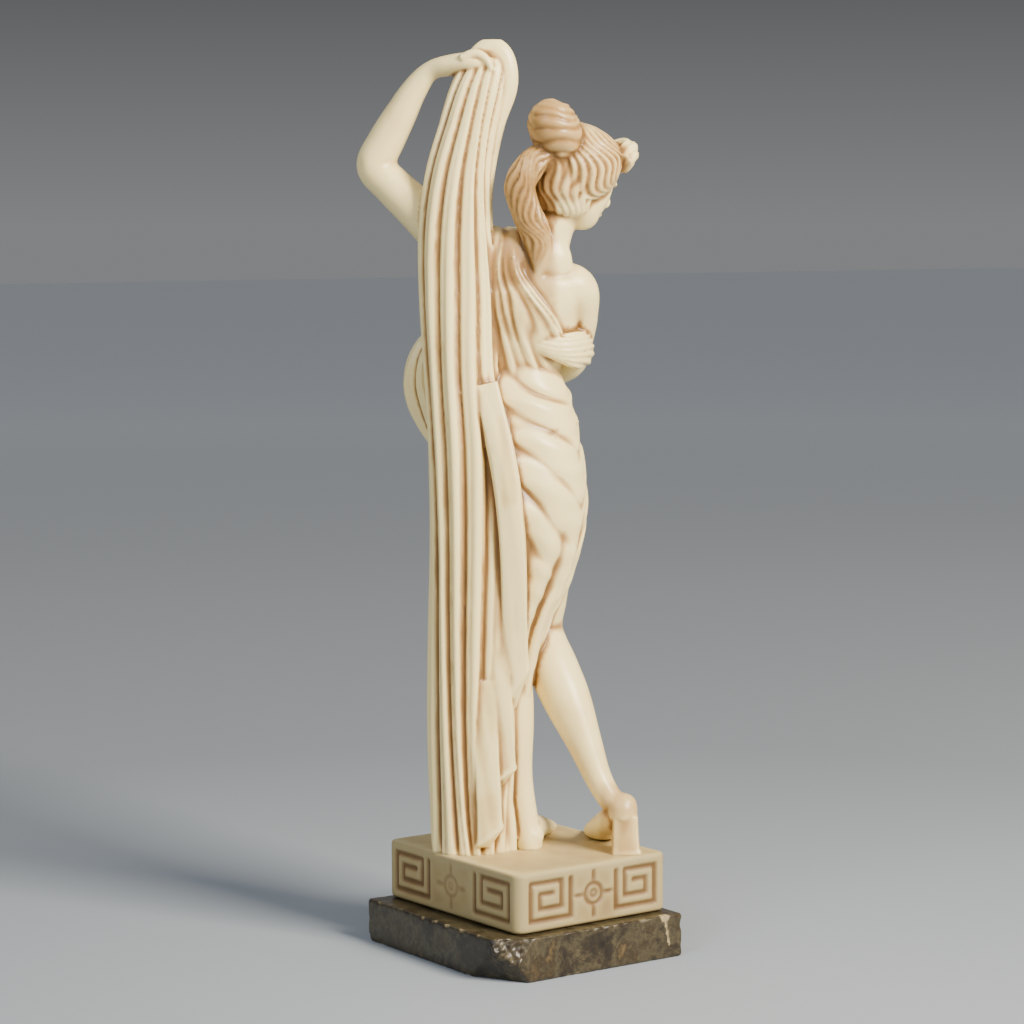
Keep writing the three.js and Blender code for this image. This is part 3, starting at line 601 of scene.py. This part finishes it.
# Where the surface is bare skin or hair, in the figure's own axes.
places = vertex_array(casting.data)
x, y, z = (places @ np.array(Matrix.Rotation(figure_turn, 3, "Z"))).T
skin = (x > 31) & (z > 204) & (z < 282) & ((y < 4) | (x > 41))
skin |= (x < -3) & (12 - x > 0.74 * (236 - z)) & (z > 199) & (z < 232) & (y > -8)
skin |= (x < -5) & (z > 15) & (z < 60)
skin |= (x > -26) & (x < -5) & (z > 219) & (z < 238) & (y < 8)
hair = np.linalg.norm((np.stack([x, y, z], 1) - [-19, 4, 258]) / [22, 20, 17], axis=1) < 1
tress_side = (x > -12) & (x < 9) & (y > 6) & (y > 8.5 - 0.2 * (z - 213))
hair |= tress_side & (z > 213) & (z < 262) & (z > 262 - 3.2 * (x + 24))
hair |= (x > -20) & (x < 0) & (z > 258)
face = (head_turn.T @ (np.stack([x, y, z]) - head_place[:, None])).T
hair &= ~((face[:, 1] < -6) & (face[:, 2] < 6.5) & (np.abs(face[:, 0]) < 8.5))
hair &= ~((face[:, 2] < -12) & (face[:, 1] < 4))
skin &= ~hair
edges = edge_pairs(casting.data)
share = smoothed(skin[:, None].astype(float), edges, 8)
places = places + share * (smoothed(places, edges, 24) - places)
set_vertices(casting.data, places)


def find_wash_and_shade(mesh, share, extra):
    """The hollows of a skin, fine and broad, as the amount of wash left in them; in the broad hollows this is
    also painted shade.
    """
    places, normals, edges = vertex_array(mesh), vertex_array(mesh, "normal"), edge_pairs(mesh)
    narrow = np.sum((smoothed(places, edges, 14) - places) * normals, axis=1)
    broad = np.sum((smoothed(places, edges, 90) - places) * normals, axis=1)
    hollow = np.clip(narrow * 3.4, -0.3, 1.2) * 0.5 + np.clip(broad * 1.25, -0.25, 1.4) * 0.5
    hollow = smoothed((hollow * (1 - 0.6 * share) + extra)[:, None], edges, 3)[:, 0]
    wash = mesh.attributes.new("wash", "FLOAT", "POINT")
    wash.data.foreach_set("value", np.clip(hollow, -0.5, 1))


fall = (x > 9) & (y > -4) & (z < 290)
# A hairline crack in the hip, which has drawn in some of the wash.
crack_from, crack_to = np.array([-8.3, 157.3]), np.array([-13.6, 160])
across_back = np.stack([x, z], 1)
crack_run = crack_to - crack_from
reached = np.clip((across_back - crack_from) @ crack_run / np.sum(crack_run ** 2), 0, 1)
from_crack = np.linalg.norm(across_back - crack_from - reached[:, None] * crack_run, axis=1)
cracked = (from_crack < 0.35) & (y > 2)
# The hair is made darker, the bun, the heel and the side of the tress darker still, and the fall a little
# darker, in patches.
bun = (x > -22) & (x < 4) & (z > 262) & (y > -4)
heel = (x < -28) & (z < 26)
darker = bun | heel | tress_side & (z < 262)
rubbed = 0.4 * hair + 0.25 * darker + 0.05 * fall * (1 + 0.5 * lumps(places, 24, 7))
find_wash_and_shade(casting.data, share[:, 0], smoothed(rubbed[:, None], edges, 10)[:, 0] + 0.7 * cracked)
turn = np.array(Matrix.Rotation(cast_turn, 3, "Z"))


def glue_down(obj, most):
    """Thins a skin to `most` triangles and sets it on the marble, in metres."""
    bpy.context.view_layer.objects.active = obj
    thinned = obj.modifiers.new("thinned", "DECIMATE")
    thinned.ratio = min(1, most / sum(len(p.vertices) - 2 for p in obj.data.polygons))
    bpy.ops.object.modifier_apply(modifier="thinned")
    places = (vertex_array(obj.data) @ turn.T + cast_offset) * 0.001
    set_vertices(obj.data, np.clip(places, inside_low, inside_high))


glue_down(casting, most=192000)

# Cast marble and resin: ivory, faintly translucent, satin, with the golden-brown wash, and painted shade in
# broad hollows and low down.
# On the plinth its colour is multiplied by a grey, which makes it darker and greyer, and it is more matt.
material, tree, shader = new_material("cast marble resin")
spot = add_node(tree, "ShaderNodeTexCoord").outputs["Object"]
# The wash attribute: wash in fine hollows, and painted shade as well in broad ones.
depth = add_node(tree, "ShaderNodeAttribute", attribute_name="wash").outputs["Fac"]
blotch_shape = {"Vector": spot, "Scale": 45, "Detail": 4, "Roughness": 0.55}
blotch = add_node(tree, "ShaderNodeTexNoise", blotch_shape).outputs[0]
patch_range = {"Value": blotch, "From Min": 0.3, "From Max": 0.7, "To Min": -0.04, "To Max": 0.15}
patchy = add_node(tree, "ShaderNodeMapRange", patch_range)
stain_and_shade = add_node(tree, "ShaderNodeMath", {0: depth, 1: patchy.outputs[0]}, operation="ADD").outputs[0]
# Painted shade: the colour darkens towards the bottom of the casting and over the plinth, as if less light
# reached there.
height = add_node(tree, "ShaderNodeSeparateXYZ", {0: spot}).outputs["Z"]
low_range = {"Value": height, "From Min": 0.03, "From Max": 0.2, "To Min": 0.13, "To Max": 0.0}
low_painted_shade = add_node(tree, "ShaderNodeMapRange", low_range).outputs[0]
stain_and_shade = add_node(tree, "ShaderNodeMath", {0: stain_and_shade, 1: low_painted_shade}, operation="ADD").outputs[0]
ivories = [(0.0, "#F6E2A2"), (0.1, "#ECD390"), (0.25, "#D3B67C"), (0.5, "#A9824A"), (0.9, "#7A582C")]
skin = add_ramp(tree, stain_and_shade, ivories)
plinth_range = {"Value": height, "From Min": 0.0383, "From Max": 0.0396, "To Min": 1.0, "To Max": 0.0}
on_plinth = add_node(tree, "ShaderNodeMapRange", plinth_range).outputs[0]
on_plinth = add_node(tree, "ShaderNodeMath", {0: on_plinth, 1: 0.95}, operation="MULTIPLY").outputs[0]
skin = mix_colors(tree, on_plinth, skin, srgb("#A6A3A2"), "MULTIPLY")
tree.links.new(skin, shader.inputs["Base Color"])
shader.inputs["Subsurface Weight"].default_value = 0.25
shader.inputs["Subsurface Radius"].default_value = (1.0, 0.85, 0.6)
shader.inputs["Subsurface Scale"].default_value = 0.0015
satin = add_node(tree, "ShaderNodeMapRange", {"Value": on_plinth, "To Min": 0.36, "To Max": 0.6})
tree.links.new(satin.outputs[0], shader.inputs["Roughness"])
pores = add_node(tree, "ShaderNodeTexNoise", {"Vector": spot, "Scale": 900, "Detail": 3}).outputs[0]
grain = add_node(tree, "ShaderNodeBump", {"Strength": 0.1, "Distance": 0.0002, "Height": pores})
tree.links.new(grain.outputs[0], shader.inputs["Normal"])
casting.data.materials.append(material)
bpy.ops.object.shade_smooth()
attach(casting, "root")
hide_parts("figure_with_plinth")


# The plinth, of the same casting, with a key pattern and two suns pressed into its sides.
# It is cast in one with the feet and the cloth, which run into its top.
plinth_wide, plinth_deep, plinth_high = 70, 84, 22
corner_radius, plinth_edge = 4, 0.9
outline = []
flat_x, flat_y = plinth_wide / 2 - corner_radius, plinth_deep / 2 - corner_radius
for quarter, (sx, sy) in enumerate(((1, 1), (-1, 1), (-1, -1), (1, -1))):
    for step in range(9):
        a = (quarter + step / 8) * math.pi / 2
        outline.append((sx * flat_x, sy * flat_y, math.cos(a), math.sin(a)))
levels = [
    (-plinth_high, corner_radius - plinth_edge),
    (plinth_edge - plinth_high, corner_radius),
    (-plinth_edge, corner_radius),
    (-plinth_edge / 3, corner_radius - plinth_edge / 3),
    (0, corner_radius - plinth_edge),
]
rows = [[(x + r * c, y + r * s, z) for x, y, c, s in outline] for z, r in levels]
count = len(outline)
points = [p for row in rows for p in row]
top_start = (len(levels) - 1) * count
faces = [tuple(range(count - 1, -1, -1)), tuple(range(top_start, top_start + count))]
for level in range(len(levels) - 1):
    for i in range(count):
        n = (i + 1) % count
        faces.append((level * count + i, level * count + n, (level + 1) * count + n, (level + 1) * count + i))
plinth_mesh = bpy.data.meshes.new("plinth")
plinth_mesh.from_pydata(points, [], faces)
plinth = bpy.data.objects.new("cast_plinth", plinth_mesh)
bpy.context.collection.objects.link(plinth)
bpy.ops.object.select_all(action="DESELECT")
plinth.select_set(True)
bpy.context.view_layer.objects.active = plinth
plinth_skin = plinth.modifiers.new("one skin", "REMESH")
plinth_skin.mode = "VOXEL"
plinth_skin.voxel_size = 0.4
bpy.ops.object.modifier_apply(modifier="one skin")
key_high, key_share, key_pitch, key_groove, key_depth, key_inset = 13.8, 0.2, 4.2, 2, 0.9, 6.2
sun_ring, sun_eye, ray_from, ray_to = 3.8, 1.3, 5.4, 8.4


def spiral(wide, high, pitch):
    left, right, low, top = -wide / 2, wide / 2 + pitch, -high / 2, high / 2
    corners = [(right, top)]
    while right - left > pitch and top - low > 0:
        corners += [(right, low), (left, low), (left, top)]
        right, low = right - pitch, low + pitch
        corners.append((right, top))
        left, top = left + pitch, top - pitch
    return corners


def stroke_distance(u, v, first, second):
    a, b = np.array(first), np.array(second)
    long = b - a
    f = np.clip(((u - a[0]) * long[0] + (v - a[1]) * long[1]) / (long @ long), 0, 1)
    return np.maximum(np.abs(u - a[0] - f * long[0]), np.abs(v - a[1] - f * long[1]))


places = vertex_array(plinth.data)
for quarter in range(4):
    length, out = (plinth_deep, plinth_wide / 2) if quarter % 2 else (plinth_wide, plinth_deep / 2)
    a = quarter * math.pi / 2
    facing, sideways = np.array([-math.sin(a), math.cos(a), 0]), np.array([math.cos(a), math.sin(a), 0])
    near = np.abs(places @ facing - out) < 0.5
    near &= places[:, 2] < -0.4
    u, v = places[near] @ sideways, places[near, 2] + plinth_high / 2
    cut = np.zeros(len(u))
    wide = length * key_share
    for mirror in (1, -1):
        middle = -mirror * (length / 2 - key_inset - wide / 2)
        corners = [(middle + mirror * x, z) for x, z in spiral(wide, key_high, key_pitch)]
        for first, second in zip(corners, corners[1:]):
            away = stroke_distance(u, v, first, second)
            depth = 1 - smoothstep(away, key_groove / 2 - 0.45, key_groove / 2 + 0.25)
            cut = np.maximum(cut, depth)
    if quarter in (0, 3):
        wear = 0.35 if quarter == 3 else 0.8
        radius = np.hypot(u, v)
        cut = np.maximum(cut, wear * (1 - smoothstep(np.abs(radius - sun_ring), 0.3, 0.9)))
        cut = np.maximum(cut, wear * (1 - smoothstep(np.abs(radius - sun_eye), 0.2, 0.7)))
        for x, z in ((1, 0), (-1, 0), (0, 1), (0, -1)):
            ray = stroke_distance(u, v, (ray_from * x, ray_from * z), (ray_to * x, ray_to * z))
            cut = np.maximum(cut, wear * (1 - smoothstep(ray, 0.3, 0.9)))
    places[near] -= facing * (key_depth * cut)[:, None]
set_vertices(plinth.data, places)
set_vertices(plinth.data, smoothed(places, edge_pairs(plinth.data), 2))
find_wash_and_shade(plinth.data, 0.55, -0.02 + 0.03 * lumps(places, 9, 5))
glue_down(plinth, most=170000)
plinth.data.materials.append(material)
bpy.ops.object.shade_smooth()
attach(plinth, "root")
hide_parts("figure_with_plinth")


# The setting: a pale painted table in a grey room, under a soft window from the right.
# A second soft light from the left and the room itself fill the shadows.
spin = np.array(Matrix.Rotation(cast_turn + figure_turn, 3, "Z"))
camera_side, camera_away, camera_high = 4.747, 1122.165, 273.936
viewer = spin @ np.array([camera_side, camera_away, 0]) + cast_offset * [1, 1, 0]
viewer = (viewer + [0, 0, camera_high]) * 0.001
tilt = math.radians(5.495)
roll = math.radians(-0.223)
backward = spin @ np.array([0, math.cos(tilt), math.sin(tilt)])
level_right, level_up = spin @ np.array([-1, 0, 0]), spin @ np.array([0, -math.sin(tilt), math.cos(tilt)])
right = level_right * math.cos(roll) + level_up * math.sin(roll)
upward = level_up * math.cos(roll) - level_right * math.sin(roll)
camera_data = bpy.data.cameras.new("camera")
camera_data.lens = 105.47
camera_data.sensor_width = 36
camera_data.clip_start = 0.01
camera = bpy.data.objects.new("camera", camera_data)
bpy.context.collection.objects.link(camera)
camera.matrix_world = Matrix(
    [[right[i], upward[i], backward[i], viewer[i]] for i in range(3)] + [[0, 0, 0, 1]]
)
bpy.context.scene.camera = camera

# Matt pale grey paint, lighter farther from the figurine: that lightening is painted light on the far table,
# which shows behind her as the backdrop.
flat = spin @ np.array([0, 1, 0])
bpy.ops.mesh.primitive_plane_add(size=24, location=(0, 0, 0))
table = bpy.context.object
table.name = "table"
material, tree, shader = new_material("painted table")
spot = add_node(tree, "ShaderNodeTexCoord").outputs["Object"]
reach = add_node(tree, "ShaderNodeVectorMath", {0: spot}, operation="LENGTH").outputs["Value"]
away = add_node(tree, "ShaderNodeMapRange", {"Value": reach, "From Min": 0.1, "From Max": 3.0}).outputs[0]
paint_and_painted_light = add_ramp(tree, away, [(0.0, "#939BA3"), (0.12, "#8A9199"), (0.35, "#A2A8AF"), (1.0, "#CBD0D6")])
tree.links.new(paint_and_painted_light, shader.inputs["Base Color"])
shader.inputs["Roughness"].default_value = 0.8
table.data.materials.append(material)

# The room is pale at the level of the table, darker just above it and bright overhead.
world = bpy.data.worlds.new("room")
bpy.context.scene.world = world
world.use_nodes = True
tree = world.node_tree
shader = tree.nodes["Background"]
heading = add_node(tree, "ShaderNodeTexCoord").outputs["Generated"]
rise = add_node(tree, "ShaderNodeSeparateXYZ", {0: heading}).outputs["Z"]
sky = add_ramp(tree, rise, [(0.0, "#C4C6C8"), (0.09, "#88898B"), (0.3, "#E9EBEE")])
tree.links.new(sky, shader.inputs["Color"])
shader.inputs["Strength"].default_value = 0.4


def add_light(name, place, size, power, color):
    data = bpy.data.lights.new(name, "AREA")
    data.size = size
    data.energy = power
    data.color = srgb(color)[:3]
    light = bpy.data.objects.new(name, data)
    bpy.context.collection.objects.link(light)
    where = Vector(level_right * place[0] + flat * place[1] + np.array([0, 0, place[2]]))
    light.location = where
    light.rotation_euler = (where - Vector((0, 0, 0.17))).to_track_quat("Z", "Y").to_euler()


add_light("window", (0.8, 0.75, 0.85), 0.45, 50, "#FFF4E2")
add_light("room bounce", (-0.55, 0.85, 0.85), 0.6, 7, "#EEF2FA")
